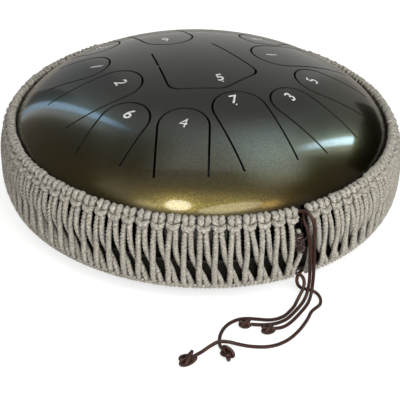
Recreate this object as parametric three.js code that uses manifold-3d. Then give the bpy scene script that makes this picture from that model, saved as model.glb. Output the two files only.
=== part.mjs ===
// Steel tongue drum with a knotted cord cover.
// Millimetres, +Z up, the floor at z = 0, the drum's axis on Z and the player at -Y.

import * as THREE from 'three';
import { mergeVertices } from 'three/addons/utils/BufferGeometryUtils.js';
import Module from 'manifold-3d';

const wasm = await Module();
wasm.setup();

// Steel shells
const drumRadius = 165;
const sheet = 2;
const footHeight = 6;
const panCorner = 20;
const panWall = 12;
const domeWall = 11;
const domeRise = 68;
const soundHoleRadius = 30;
const weldFace = 2;
const weldDepth = 1.6;

// Tongues: slots, the round field kept free for the middle tongue, and the room for a tongue
// between that field and the circle of the roots
const slotWidth = 1.7;
const middleField = 48;
const tongueRoom = 84;

// Outer tongues: heading from tip to root in degrees, the centre line's distance to the left
// of the drum's axis, how far the tip stays out of the middle field, the width, and how far
// the root lies outside the circle of the roots
const outerTongues = [
  { name: 'tongue_low_6', heading: 114.5, aside: 4, retreat: 2, width: 43.5, beyond: 0 },
  { name: 'tongue_low_7', heading: -66, aside: 0, retreat: 3.5, width: 42, beyond: -4 },
  { name: 'tongue_1', heading: 29, aside: -1, retreat: 2, width: 44, beyond: 0 },
  { name: 'tongue_2', heading: -152.5, aside: -5, retreat: 7.5, width: 42, beyond: -5 },
  { name: 'tongue_3', heading: -41.5, aside: 13, retreat: 19, width: 38, beyond: 1.5 },
  { name: 'tongue_4', heading: -90, aside: -13.5, retreat: 22, width: 37.5, beyond: 0.5 },
  { name: 'tongue_5', heading: -9.5, aside: 12, retreat: 28, width: 41, beyond: 5.5 },
  { name: 'tongue_6', heading: -118.5, aside: -14.5, retreat: 30, width: 38.5, beyond: 2 },
  { name: 'tongue_7', heading: 59, aside: -3, retreat: 28.5, width: 38, beyond: 0 },
  { name: 'tongue_high_1', heading: 176.5, aside: -4.5, retreat: 32.5, width: 41, beyond: -4 },
  { name: 'tongue_high_2', heading: 145, aside: 2, retreat: 49, width: 37, beyond: 0 },
  { name: 'tongue_high_3', heading: 87, aside: 0, retreat: 52, width: 36, beyond: 0 },
];

// The middle tongue widens from its root to two shoulders and ends in a low point
const middle = {
  heading: -64, aside: -3, root: -37, rootWidth: 55, shoulder: 28.5, shoulderWidth: 78, point: 44,
};
const shoulderRound = 9;
const pointRound = 6;

// Push-in rubber feet
const footCircle = 105;
const footRadius = 11;
const footHoleRadius = 4.5;
const footBarb = 2.2;
const footBarbHeight = 4;

// Knotted cord cover; distances along the wall are heights on the bare shell
const knots = 95;
const seamAt = -63;
const seamSpan = 6.3;
const coverTop = 72;
const knotHeight = 10.5;
const chainTop = 23.5;
const chainHeight = 7;
const strand = 3.6;
const strandWidth = 3.65;
const knotBulge = 1.8;

// Drawstrings, their free tails and the wrapped closing strand
const drawstring = 2.6;
const topDrawstringAt = 68.2;
const bottomDrawstringAt = 18;
const drawstringEnd = 7;
const wrapWall = 1.3;
const wrapTop = 57;
const wrapBottom = 40;

// Fits and facets
const clearance = 0.3;
const seatClearance = 0.5;
const roundSegments = 48;

// Levels that follow
const panCornerTop = footHeight + panCorner;
const rootReach = middleField + tongueRoom;
const seamLevel = panCornerTop + panWall;
const domeBase = seamLevel + domeWall;
const domeTop = domeBase + domeRise;

const drum = new THREE.Group();
const degrees = THREE.MathUtils.degToRad;

const finishes = {
  steel: { color: 0x5f5a3a, roughness: 0.28, metalness: 0.9 },
  pan: { color: 0x33312a, roughness: 0.35, metalness: 0.85 },
  weld: { color: 0x6d6a60, roughness: 0.5, metalness: 0.9 },
  rubber: { color: 0x1b1b1b, roughness: 0.8, metalness: 0 },
  cotton: { color: 0xa59e94, roughness: 0.95, metalness: 0 },
  satin: { color: 0x3f2620, roughness: 0.4, metalness: 0 },
};

function addMesh(name, geometry, finish) {
  geometry.computeVertexNormals();
  const mesh = new THREE.Mesh(geometry, new THREE.MeshStandardMaterial(finishes[finish]));
  mesh.name = name;
  drum.add(mesh);
}

// A closed geometry as a solid, with shared corners merged and collapsed triangles left out
function solidOf(geometry) {
  const bare = geometry.clone();
  bare.deleteAttribute('normal');
  bare.deleteAttribute('uv');
  const merged = mergeVertices(bare, 1e-4);
  const corners = merged.index.array;
  const triangles = [];
  for (let i = 0; i < corners.length; i += 3) {
    const [a, b, c] = corners.slice(i, i + 3);
    if (a !== b && b !== c && c !== a) triangles.push(a, b, c);
  }
  return new wasm.Manifold(new wasm.Mesh({
    numProp: 3,
    vertProperties: Float32Array.from(merged.attributes.position.array),
    triVerts: Uint32Array.from(triangles),
  }));
}

function geometryOf(solid) {
  const mesh = solid.getMesh();
  const geometry = new THREE.BufferGeometry();
  geometry.setAttribute('position', new THREE.Float32BufferAttribute(mesh.vertProperties, 3));
  geometry.setIndex(new THREE.Uint32BufferAttribute(mesh.triVerts, 1));
  return geometry;
}

// A turned solid from a closed outline of [radius, height] points
function turned(outline, segments = roundSegments) {
  const points = outline.map(([r, z]) => new THREE.Vector2(r, z));
  return solidOf(new THREE.LatheGeometry(points, segments).rotateX(Math.PI / 2));
}

function extruded(shape, bottom, top) {
  const options = { depth: top - bottom, bevelEnabled: false, curveSegments: 7 };
  return solidOf(new THREE.ExtrudeGeometry(shape, options).translate(0, 0, bottom));
}

// Points of an elliptical quarter from the pole (0 degrees) to the wall (90 degrees)
function domeArc(radius, rise, steps) {
  const points = [];
  for (let i = 0; i <= steps; i += 1) {
    const angle = (Math.PI / 2) * (i / steps);
    points.push([radius * Math.sin(angle), domeBase + rise * Math.cos(angle)]);
  }
  return points;
}

// The two shells meet at a groove that the weld fills, flush with the outside
const grooveHalf = weldFace / 2 + seatClearance;
const grooveRoot = clearance / 2;

function makeTopShell() {
  const outside = domeArc(drumRadius, domeRise, 9);
  const inside = domeArc(drumRadius - sheet, domeRise - sheet, 8);
  const edge = [
    [drumRadius - sheet, seamLevel + grooveRoot],
    [drumRadius, seamLevel + grooveHalf],
  ];
  return turned([...inside, ...edge, ...outside.reverse()]);
}

function panArc(radius, steps) {
  const points = [];
  for (let i = 0; i <= steps; i += 1) {
    const angle = (Math.PI / 2) * (i / steps);
    const r = drumRadius - panCorner + radius * Math.sin(angle);
    points.push([r, panCornerTop - radius * Math.cos(angle)]);
  }
  return points;
}

const footPlaces = [
  ['foot_front_left', -135],
  ['foot_front_right', -45],
  ['foot_back_right', 45],
  ['foot_back_left', 135],
];

function makeBottomShell() {
  const outline = [
    [soundHoleRadius, footHeight],
    ...panArc(panCorner, 4),
    [drumRadius, seamLevel - grooveHalf],
    [drumRadius - sheet, seamLevel - grooveRoot],
    ...panArc(panCorner - sheet, 3).reverse(),
    [soundHoleRadius, footHeight + sheet],
    [soundHoleRadius, footHeight],
  ];
  let pan = turned(outline);
  for (const [, bearing] of footPlaces) {
    const hole = new THREE.Shape();
    const angle = degrees(bearing);
    const [x, y] = [footCircle * Math.cos(angle), footCircle * Math.sin(angle)];
    hole.absarc(x, y, footHoleRadius, 0, 2 * Math.PI);
    pan = pan.subtract(extruded(hole, footHeight - sheet, footHeight + 2 * sheet));
  }
  return pan;
}

function makeWeld() {
  const half = weldFace / 2;
  const tip = grooveRoot / 2;
  return turned([
    [drumRadius, seamLevel - half],
    [drumRadius, seamLevel + half],
    [drumRadius - weldDepth, seamLevel + tip],
    [drumRadius - weldDepth, seamLevel - tip],
    [drumRadius, seamLevel - half],
  ]);
}

// Pad below the base, neck through its hole and a barb above it
function addFoot(name, bearing) {
  const neck = footHoleRadius - seatClearance;
  const barbLevel = footHeight + sheet + clearance;
  const outline = [
    [0, 0],
    [footRadius - 1, 0],
    [footRadius, 1],
    [footRadius - 1, footHeight - clearance],
    [neck, footHeight - clearance],
    [neck, barbLevel],
    [footHoleRadius + footBarb, barbLevel],
    [neck / 2, barbLevel + footBarbHeight],
    [0, barbLevel + footBarbHeight],
  ];
  const geometry = geometryOf(turned(outline, 10));
  const angle = degrees(bearing);
  geometry.translate(footCircle * Math.cos(angle), footCircle * Math.sin(angle), 0);
  addMesh(name, geometry, 'rubber');
}

// Plan outline of an outer tongue; grow widens it to the far side of its slot
function tongueOutline(tongue, grow) {
  const half = tongue.width / 2 + grow;
  const bend = middleField + tongue.retreat + tongue.width / 2;
  const root = rootReach + tongue.beyond + (grow > 0 ? clearance : 0);
  const shape = new THREE.Shape();
  shape.moveTo(root, tongue.aside - half);
  shape.lineTo(bend, tongue.aside - half);
  shape.absarc(bend, tongue.aside, half, -Math.PI / 2, -1.5 * Math.PI, true);
  shape.lineTo(root, tongue.aside + half);
  shape.closePath();
  return shape;
}

// A convex outline with each edge moved out by its own distance
function outset(points, distances) {
  const lines = points.map((p, i) => {
    const q = points[(i + 1) % points.length];
    const along = q.clone().sub(p).normalize();
    const out = new THREE.Vector2(along.y, -along.x).multiplyScalar(distances[i]);
    return { at: p.clone().add(out), along };
  });
  return lines.map((line, i) => {
    const before = lines[(i + lines.length - 1) % lines.length];
    const gap = line.at.clone().sub(before.at);
    const reach = gap.cross(line.along) / before.along.cross(line.along);
    return before.at.clone().addScaledVector(before.along, reach);
  });
}

function roundedShape(points, rounds) {
  const shape = new THREE.Shape();
  points.forEach((corner, i) => {
    const before = points[(i + points.length - 1) % points.length];
    const after = points[(i + 1) % points.length];
    const start = corner.clone().add(before.clone().sub(corner).setLength(rounds[i]));
    const end = corner.clone().add(after.clone().sub(corner).setLength(rounds[i]));
    if (i === 0) shape.moveTo(start.x, start.y);
    else shape.lineTo(start.x, start.y);
    if (rounds[i] > 0) shape.quadraticCurveTo(corner.x, corner.y, end.x, end.y);
  });
  shape.closePath();
  return shape;
}

function middleOutline(grow) {
  const rootHalf = middle.rootWidth / 2;
  const shoulderHalf = middle.shoulderWidth / 2;
  const corners = [
    [middle.root, -rootHalf],
    [middle.shoulder, -shoulderHalf],
    [middle.point, 0],
    [middle.shoulder, shoulderHalf],
    [middle.root, rootHalf],
  ].map(([along, across]) => new THREE.Vector2(along, across + middle.aside));
  const rootGrow = grow > 0 ? clearance : 0;
  const grown = outset(corners, [grow, grow, grow, grow, rootGrow]);
  return roundedShape(grown, [0, shoulderRound, pointRound, shoulderRound, 0]);
}

function tongueSolid(shape, heading) {
  return extruded(shape, domeBase, domeTop + sheet).rotate([0, 0, heading]);
}

function addTopAndTongues() {
  const blank = makeTopShell();
  let shell = blank;
  const tongues = outerTongues.map((tongue) => ({
    name: tongue.name,
    heading: tongue.heading,
    outline: (grow) => tongueOutline(tongue, grow),
  }));
  tongues.unshift({ name: 'tongue_low_5', heading: middle.heading, outline: middleOutline });
  for (const tongue of tongues) {
    const blade = blank.intersect(tongueSolid(tongue.outline(0), tongue.heading));
    shell = shell.subtract(tongueSolid(tongue.outline(slotWidth), tongue.heading));
    addMesh(tongue.name, geometryOf(blade), 'steel');
  }
  addMesh('top_shell', geometryOf(shell), 'steel');
}

// A point at a height on the bare outside wall, moved out square to the wall
function wallPoint(height, out) {
  let radius = drumRadius;
  let normal = [1, 0];
  if (height > domeBase) {
    const up = (height - domeBase) / domeRise;
    radius = drumRadius * Math.sqrt(1 - up * up);
    normal = [radius / drumRadius ** 2, up / domeRise];
  } else if (height < panCornerTop) {
    const down = panCornerTop - height;
    const reach = Math.sqrt(panCorner ** 2 - down ** 2);
    radius = drumRadius - panCorner + reach;
    normal = [reach, -down];
  }
  const length = Math.hypot(...normal);
  return [radius + (out * normal[0]) / length, height + (out * normal[1]) / length];
}

// The cover is one net: knots along the top, strands below and a chain at the foot.
// Columns are counted in knots from the right side of the seam; rows are heights on the wall.
function makeCover() {
  const positions = [];
  const triangles = [];
  const pitch = (360 - seamSpan) / (knots - 1);
  const last = knots - 1;
  const lift = drawstring + 2 * seatClearance;
  const strandIn = lift - 1;
  const strandEdge = strandIn + strand / 2;
  const strandOut = strandIn + strand;
  const half = (strandWidth / (degrees(pitch) * (drumRadius + strandOut))) / 2;
  const strandsTop = coverTop - knotHeight;
  const drop = strandsTop - chainTop;

  function put(column, height, out) {
    const [r, z] = wallPoint(height, out);
    const angle = degrees(seamAt + seamSpan / 2 + column * pitch);
    positions.push(r * Math.cos(angle), r * Math.sin(angle), z);
    return positions.length / 3 - 1;
  }
  function face(a, b, c) {
    if (a !== b && b !== c && c !== a) triangles.push(a, b, c);
  }
  // A row of faces between two lists of corners, the second to the right of the first
  function band(left, right) {
    for (let i = 0; i + 1 < left.length; i += 1) {
      face(left[i], left[i + 1], right[i]);
      face(right[i], left[i + 1], right[i + 1]);
    }
  }

  // Strands in the frame of one knot: sideways in pitches, downwards as a share of the drop
  const lean = 0.22;
  const down = (share) => strandsTop - share * drop;
  const edgePair = (column, share) => [
    put(column, down(share), strandEdge),
    put(column, down(share), strandIn),
  ];
  const knotRows = (column, bulge) => [
    put(column, coverTop, 1.6),
    put(column, coverTop - 1, lift + 1 + bulge),
    put(column, coverTop - knotHeight / 2, strandOut + bulge / 2),
    put(column, strandsTop, strandOut - 0.6 + bulge / 2),
  ];
  const innerTopRows = (column) => [
    put(column, coverTop - 2.5, lift),
    put(column, strandsTop + 3, lift),
  ];
  const chainRows = (column) => [
    put(column, chainTop, strandOut - 0.4),
    put(column, chainTop - chainHeight / 2, strandOut + 0.4),
    put(column, chainTop - chainHeight, strandOut - 1),
  ];
  const innerChainRows = (column) => [
    put(column, chainTop - chainHeight, lift + 0.3),
    put(column, chainTop - 2, lift + 0.3),
  ];

  // Entry i of these lies left of knot i, halfway to the knot before it
  const knotSide = [];
  const innerTop = [];
  const chain = [];
  const innerChain = [];
  for (let i = 0; i <= last + 1; i += 1) {
    let side = i - 0.5;
    if (i === 0) side = -lean - half;
    if (i > last) side = last + 0.2;
    if (i <= last) knotSide[i] = knotRows(side, 0);
    innerTop[i] = innerTopRows(side);
    chain[i] = chainRows(side);
    innerChain[i] = innerChainRows(side);
  }

  // Edges and ridge of the upright strand under knot i, and the knot's middle
  const leftSide = [];
  const rightSide = [];
  const ridges = [];
  const knotMid = [];
  for (let i = 0; i <= last; i += 1) {
    const atEnd = i === last;
    const [left, right] = [i - lean - half, i - lean + half];
    const foot = atEnd ? right : i + 0.27;
    leftSide[i] = [0.02, 0.4, 0.72, 0.97].map((share) => edgePair(left, share));
    rightSide[i] = [[right, 0.04], [right, 0.72], [foot, 0.97]].map((at) => edgePair(...at));
    ridges[i] = [0.02, 0.45, 0.78, 1].map((share) => put(i - lean, down(share), strandOut));
    knotMid[i] = knotRows(atEnd ? i + 0.2 : i, knotBulge);
  }

  // Upright strands
  for (let i = 0; i <= last; i += 1) {
    const [s3, s2, r2, r3] = leftSide[i];
    const [l1, l2, l3] = rightSide[i];
    const [p1, p2, p3, p4] = ridges[i];
    const [knotLeft, knot] = [knotSide[i][3], knotMid[i][3]];
    const [chainLeft, chainRight] = [chain[i][0], chain[i + 1][0]];
    face(knotLeft, s3[0], p1);
    face(knotLeft, p1, knot);
    face(p1, l1[0], knot);
    band([s3[0], s2[0], r2[0], r3[0], chainLeft], [p1, p2, p3, p4, p4]);
    band([p1, p2, p3, p4], [l1[0], l1[0], l2[0], l3[0]]);
    face(p4, chainLeft, chainRight);
    face(p4, chainRight, l3[0]);
    const [topLeft, footLeft] = [innerTop[i][1], innerChain[i][1]];
    face(s3[1], topLeft, l1[1]);
    face(s2[1], s3[1], l1[1]);
    band([l1[1], l2[1], l3[1], l3[1]], [s2[1], r2[1], r3[1], footLeft]);
    face(footLeft, l3[1], innerChain[i + 1][1]);
  }
  face(rightSide[last][0][1], innerTop[last][1], innerTop[last + 1][1]);

  // Slanting strands, each of which joins the next upright one
  for (let i = 0; i < last; i += 1) {
    const left = edgePair(i + lean - half, 0.04);
    const right = edgePair(i + lean + half, 0.02);
    const ridge = put(i + lean, down(0.02), strandOut);
    const ridgeFoot = put(i + 0.45, down(0.42), strandOut);
    const [s3, s2, r2, r3] = leftSide[i + 1];
    const [l1, l2, l3] = rightSide[i];
    const [knot, knotRight] = [knotMid[i][3], knotSide[i + 1][3]];
    face(knot, l1[0], left[0]);
    face(knot, left[0], ridge);
    face(knot, ridge, knotRight);
    face(ridge, right[0], knotRight);
    face(knotRight, right[0], s3[0]);
    band([left[0], r2[0]], [ridge, ridgeFoot]);
    band([ridge, ridgeFoot], [right[0], s2[0]]);
    face(ridgeFoot, r2[0], s2[0]);
    face(l3[0], chain[i + 1][0], r3[0]);
    const [topLeft, topRight] = [innerTop[i][1], innerTop[i + 1][1]];
    face(l1[1], topLeft, left[1]);
    face(left[1], topLeft, topRight);
    face(left[1], topRight, right[1]);
    face(right[1], topRight, s3[1]);
    face(left[1], right[1], r2[1]);
    face(r2[1], right[1], s2[1]);
    face(l3[1], r3[1], innerChain[i + 1][1]);
    const longGap = [l1, l2, l3, r3, r2, left];
    const shortGap = [right, s2, s3];
    for (const gap of [longGap, shortGap]) {
      gap.forEach((corner, k) => {
        const next = gap[(k + 1) % gap.length];
        face(corner[0], next[0], corner[1]);
        face(next[0], next[1], corner[1]);
      });
    }
  }

  // Knot band, its inside and the chain
  for (let i = 0; i <= last; i += 1) {
    const [left, mid] = [knotSide[i], knotMid[i]];
    const [innerLeft, innerRight] = [innerTop[i], innerTop[i + 1]];
    band(left, mid);
    band(innerRight, innerLeft);
    face(left[0], mid[0], innerLeft[0]);
    face(mid[0], innerRight[0], innerLeft[0]);
    if (i < last) {
      band(mid, knotSide[i + 1]);
      face(mid[0], knotSide[i + 1][0], innerRight[0]);
    }
    band([...chain[i], ...innerChain[i]], [...chain[i + 1], ...innerChain[i + 1]]);
  }

  // Ends at the seam, from top to bottom along the outside and the inside
  const endIn = (top, side, foot) => [top[0], top[0], top[1],
    ...side.map((pair) => pair[1]), foot[1], foot[1], foot[0]];
  const endOut = (top, side, foot) => [...top.slice(1), ...side.map((pair) => pair[0]), ...foot];
  const startIn = endIn(innerTop[0], leftSide[0], innerChain[0]);
  const startOut = endOut(knotSide[0], leftSide[0], chain[0]);
  band(startIn, startOut);
  face(knotSide[0][0], startIn[0], startOut[0]);
  const finishIn = endIn(innerTop[last + 1], rightSide[last], innerChain[last + 1]);
  const finishOut = endOut(knotMid[last], rightSide[last], chain[last + 1]);
  band(finishOut, finishIn);
  face(knotMid[last][0], finishOut[0], finishIn[0]);

  const geometry = new THREE.BufferGeometry();
  geometry.setAttribute('position', new THREE.Float32BufferAttribute(positions, 3));
  geometry.setIndex(triangles);
  return geometry;
}

// A round cord of so many sides along a curve
function cordGeometry(curve, diameter, sides, steps) {
  const section = new THREE.Shape();
  for (let i = 0; i < sides; i += 1) {
    const angle = (2 * Math.PI * i) / sides;
    const [x, y] = [(diameter / 2) * Math.cos(angle), (diameter / 2) * Math.sin(angle)];
    if (i === 0) section.moveTo(x, y);
    else section.lineTo(x, y);
  }
  section.closePath();
  const options = { steps, extrudePath: curve, bevelEnabled: false };
  return geometryOf(solidOf(new THREE.ExtrudeGeometry(section, options)));
}

class RingCurve extends THREE.Curve {
  constructor(radius, height, start, end) {
    super();
    Object.assign(this, { radius, height, start, end });
  }

  getPoint(t, target = new THREE.Vector3()) {
    const angle = this.start + t * (this.end - this.start);
    return target.set(this.radius * Math.cos(angle), this.radius * Math.sin(angle), this.height);
  }
}

// The part of a drawstring inside the cover's edge, from one side of the seam to the other
function addDrawstring(name, height) {
  const [radius, level] = wallPoint(height, drawstring / 2 + seatClearance);
  const gap = (drawstringEnd + clearance) / radius;
  const start = degrees(seamAt) + gap;
  const end = degrees(seamAt) + 2 * Math.PI - gap;
  const curve = new RingCurve(radius, level, start, end);
  addMesh(name, cordGeometry(curve, drawstring, 6, roundSegments), 'satin');
}

const vectors = (points) => points.map((p) => new THREE.Vector3(...p));

// Free tails: from the seam, down over the cover and along the floor to an end knot
const tails = [
  {
    name: 'top_tail_right',
    knot: { name: 'knot_top_right', length: 10, diameter: 8.4 },
    points: [
      [66.5, -145.3, 69.2], [69.1, -144.3, 69.5], [72.3, -144.1, 70.3], [75.3, -145.3, 71],
      [77.6, -147.3, 71.2], [79.6, -149.6, 70.2], [81.1, -151.4, 68], [82.1, -152.5, 64.9],
      [82.8, -152.9, 61], [83.1, -153, 57.4], [83.3, -152.8, 54], [84.4, -152.2, 45],
      [85.2, -152, 36], [86, -152.2, 27], [86.5, -152.8, 18], [86.5, -153.9, 10],
      [85.9, -156.4, 4.8], [84.6, -160.4, 2], [82.2, -166, 1.5], [77.4, -173.8, 1.5],
      [70.5, -183.5, 1.5], [64.8, -189.4, 1.5], [60.5, -192.1, 1.9], [56.5, -194, 2.9],
    ],
  },
  {
    name: 'top_tail_left',
    knot: { name: 'knot_top_left', length: 9, diameter: 8 },
    points: [
      [78.4, -139.2, 69.2], [77.1, -140.2, 68.7], [75.7, -141.8, 67.7], [75, -143.7, 66.6],
      [75.1, -146.6, 65.4], [76, -149.4, 63.3], [77.3, -150.9, 61.4], [78.5, -152.5, 57.8],
      [79.6, -153.6, 53.2], [80.5, -154.1, 48.2], [81.6, -154, 43], [82.5, -153.8, 34],
      [83.2, -154.1, 24], [83.6, -154.8, 15], [83.1, -156.4, 8], [81.8, -159, 3.6],
      [79.5, -163.2, 1.7], [76.3, -168.5, 1.5], [72.6, -174, 1.5], [66.3, -182, 1.5],
      [58.7, -187, 1.5], [50.7, -188.9, 1.5], [45, -189.6, 1.8], [40, -190.4, 2.8],
    ],
  },
  {
    name: 'bottom_tail_left',
    knot: { name: 'knot_bottom_left', length: 11, diameter: 9.4 },
    points: [
      [68.9, -149.9, 17.3], [71.8, -149.1, 17.5], [75, -149.2, 17.3], [77.7, -150.5, 16.4],
      [79.5, -152.5, 14.9], [80, -155.1, 12.3], [79.1, -157.7, 9.4], [77.3, -160.3, 6.7],
      [75.1, -163.8, 4], [72.4, -168.4, 1.5], [68.8, -173.8, 1.5], [64.6, -178.9, 1.5],
      [58.6, -182.6, 1.5], [51.7, -183.9, 1.5], [44.3, -183.4, 1.5], [37.8, -183.1, 1.5],
      [32.2, -184, 1.5], [27.3, -186.6, 1.5], [23.4, -190, 1.5], [20.6, -194, 1.5],
      [18.5, -198.8, 1.5], [17.4, -203.8, 1.5], [17.3, -209.4, 1.5], [18.2, -213.4, 1.9],
      [19.8, -216.6, 3.2],
    ],
  },
  {
    name: 'bottom_tail_right',
    knot: { name: 'knot_bottom_right', length: 13, diameter: 10 },
    points: [
      [80.8, -143.8, 17.3], [78.4, -145.3, 16.9], [76.3, -147.2, 15.3], [75.1, -149.3, 12.9],
      [75.2, -151.1, 10.1], [76.7, -152.3, 7.6], [79.2, -152.6, 5.9], [82.3, -152.3, 4.9],
      [85.6, -152.2, 4], [88.7, -152.9, 3.1], [91.1, -154.6, 2.2], [92.6, -157.6, 1.6],
      [92.8, -161.4, 1.5], [91.4, -166.1, 1.5], [85.2, -173, 1.5], [81.8, -180.4, 1.5],
      [77.9, -187.8, 1.5], [72.8, -195.5, 1.5], [67.2, -202, 1.5], [62.4, -206, 1.5],
      [56.6, -209.3, 1.5], [48.8, -211.3, 1.5], [38.6, -211.3, 1.6], [30, -210.6, 2.7],
      [23, -210.4, 4.4], [16.6, -211.5, 5.2], [11, -214.6, 4.1], [6, -218.4, 2.8],
      [2.6, -221.4, 2.8], [0.2, -223.9, 3.4],
    ],
  },
];

// An end knot is three turns of cord drawn tight, on the line of the tail's last stretch
function knotGeometry(length, diameter) {
  const rounds = 3;
  const half = length / 2;
  const outline = [[0, -half]];
  for (let i = 0; i <= 2 * rounds; i += 1) {
    const share = (i + 0.5) / (2 * rounds + 1);
    const swell = Math.sqrt(1 - (2 * share - 1) ** 2);
    const turn = i % 2 === 0 ? 1 : 0.84;
    outline.push([(diameter / 2) * Math.max(swell, 0.5) * turn, length * (share - 0.5)]);
  }
  outline.push([0, half]);
  return geometryOf(turned(outline, 10));
}

function addTail(tail) {
  const curve = new THREE.CatmullRomCurve3(vectors(tail.points));
  const steps = Math.round(curve.getLength() / (2.2 * drawstring));
  addMesh(tail.name, cordGeometry(curve, drawstring, 8, steps), 'satin');
  const end = curve.getPoint(1);
  const along = curve.getTangent(1).setZ(0).normalize();
  const { name, length, diameter } = tail.knot;
  const centre = end.clone().addScaledVector(along, length / 2 + clearance);
  const geometry = knotGeometry(length, diameter);
  geometry.applyQuaternion(new THREE.Quaternion().setFromUnitVectors(new THREE.Vector3(0, 0, 1), along));
  geometry.translate(centre.x, centre.y, Math.max(centre.z, diameter / 2 + clearance));
  addMesh(name, geometry, 'satin');
}

// The strand that closes the seam, and the wrap around its upper half
// Its route: distance right of the seam, height on the bare wall and distance out from it
const closingRoute = [
  [-4.9, 58, 3.7], [-4.9, 54.4, 3.9], [-4, 49.8, 3.9], [-2.8, 44.5, 4],
  [-2.1, 39.5, 4], [-2.8, 34, 3.8], [-4.6, 29, 3.7], [-5.6, 25, 3.6],
];

function addClosing() {
  const points = closingRoute.map(([across, height, out]) => {
    const [r, z] = wallPoint(height, out);
    const angle = degrees(seamAt) + across / r;
    return [r * Math.cos(angle), r * Math.sin(angle), z];
  });
  const curve = new THREE.CatmullRomCurve3(vectors(points));
  const cotton = cordGeometry(curve, strand, 8, 9);
  addMesh('closing_strand', cotton, 'cotton');
  const shareAt = (level) => {
    const steps = 200;
    let share = 0;
    while (share < 1 && curve.getPoint(share).z > level) share += 1 / steps;
    return share;
  };
  const [from, to] = [shareAt(wrapTop), shareAt(wrapBottom)];
  const part = [0, 0.25, 0.5, 0.75, 1].map((share) => curve.getPoint(from + share * (to - from)));
  const wrapCurve = new THREE.CatmullRomCurve3(part);
  const bore = strand + 2 * clearance;
  const outside = solidOf(cordGeometry(wrapCurve, bore + 2 * wrapWall, 10, 6));
  const inside = solidOf(cordGeometry(curve, bore, 8, 9));
  addMesh('seam_wrap', geometryOf(outside.subtract(inside)), 'satin');
}

addTopAndTongues();
addMesh('bottom_shell', geometryOf(makeBottomShell()), 'pan');
addMesh('seam_weld', geometryOf(makeWeld()), 'weld');
for (const [name, bearing] of footPlaces) addFoot(name, bearing);
addMesh('cord_cover', makeCover(), 'cotton');
addDrawstring('top_drawstring', topDrawstringAt);
addDrawstring('bottom_drawstring', bottomDrawstringAt);
for (const tail of tails) addTail(tail);
addClosing();

export default drum;
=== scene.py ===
import math
import random

import bpy
from mathutils import Matrix, Vector


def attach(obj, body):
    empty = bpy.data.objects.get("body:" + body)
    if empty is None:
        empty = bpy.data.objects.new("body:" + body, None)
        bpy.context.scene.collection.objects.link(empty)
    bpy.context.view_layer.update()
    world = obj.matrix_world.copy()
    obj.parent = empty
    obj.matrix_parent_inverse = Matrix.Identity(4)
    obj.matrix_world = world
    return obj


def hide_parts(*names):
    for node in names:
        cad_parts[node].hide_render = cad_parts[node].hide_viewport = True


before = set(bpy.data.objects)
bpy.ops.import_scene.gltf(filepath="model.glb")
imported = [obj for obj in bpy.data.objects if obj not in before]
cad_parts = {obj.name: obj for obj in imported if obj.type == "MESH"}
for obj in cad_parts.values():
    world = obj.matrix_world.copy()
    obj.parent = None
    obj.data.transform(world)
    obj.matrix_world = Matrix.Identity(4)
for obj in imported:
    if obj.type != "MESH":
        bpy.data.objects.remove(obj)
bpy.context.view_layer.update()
mm = 0.001  # the drum's sizes are in millimetres until they are multiplied by this
hair = 1e-6  # keeps the last step of a path inside its last span
random.seed(13)

studio = bpy.context.scene
studio.view_settings.view_transform = "Standard"


def deselect():
    bpy.ops.object.select_all(action="DESELECT")


def activate(obj):
    deselect()
    obj.select_set(True)
    bpy.context.view_layer.objects.active = obj


def drop(obj):
    bpy.data.objects.remove(obj, do_unlink=True)


def settle(obj, body, slot, *nodes):
    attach(obj, body)
    if nodes:
        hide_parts(*nodes)


# Camera at the photograph's angle: in a frame of 400 pixels the rim's centre falls on rimPixel
cameraView = {
    "distance": 0.7038,
    "elevation": 28.09,
    "rimCentre": (0, 0, 0.0734),
    "rimPixel": (202.19, 108.71),
    "focalPixels": 815.0,
    "framePixels": 400,
    "roll": 1.847,
    "sensor": 36,
    "nearest": 0.01,
}


def addCamera(view):
    slope = math.radians(view["elevation"])
    right = Vector((1, 0, 0))
    forward = Vector((0, math.cos(slope), -math.sin(slope)))
    level = Matrix((right, -right.cross(forward), forward))
    half = view["framePixels"] / 2
    sight = Vector([(p - half) / view["focalPixels"] for p in view["rimPixel"]] + [1]).normalized()
    yaw = Matrix.Rotation(math.atan2(sight.x, sight.z), 3, "Y")
    pitch = Matrix.Rotation(-math.asin(sight.y), 3, "X")
    roll = Matrix.Rotation(math.radians(view["roll"]), 3, "Z")
    rows = yaw @ pitch @ roll @ level
    turn = Matrix((rows[0], -rows[1], -rows[2])).transposed()
    place = Vector(view["rimCentre"]) - view["distance"] * forward
    bpy.ops.object.camera_add()
    camera = bpy.context.object
    camera.name = "photoCamera"
    camera.data.sensor_width = view["sensor"]
    camera.data.lens = view["sensor"] * view["focalPixels"] / view["framePixels"]
    camera.data.clip_start = view["nearest"]
    camera.matrix_world = Matrix.Translation(place) @ turn.to_4x4()
    studio.camera = camera


addCamera(cameraView)
print("camera placed")


# Materials
def newMaterial(name):
    material = bpy.data.materials.new(name)
    material.use_nodes = True
    nodes = material.node_tree.nodes
    return material, nodes, material.node_tree.links, nodes["Principled BSDF"]


def objectNoise(nodes, links, scale, detail):
    coordinates = nodes.new("ShaderNodeTexCoord")
    noise = nodes.new("ShaderNodeTexNoise")
    noise.inputs["Scale"].default_value = scale
    noise.inputs["Detail"].default_value = detail
    links.new(coordinates.outputs["Object"], noise.inputs["Vector"])
    return noise.outputs["Fac"]


def colourRamp(nodes, links, source, stops):
    ramp = nodes.new("ShaderNodeValToRGB")
    ramp.color_ramp.elements[0].position = stops[0][0]
    ramp.color_ramp.elements[0].color = (*stops[0][1], 1)
    ramp.color_ramp.elements[1].position = stops[-1][0]
    ramp.color_ramp.elements[1].color = (*stops[-1][1], 1)
    for position, colour in stops[1:-1]:
        ramp.color_ramp.elements.new(position).color = (*colour, 1)
    links.new(source, ramp.inputs["Fac"])
    return ramp.outputs["Color"]


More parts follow.
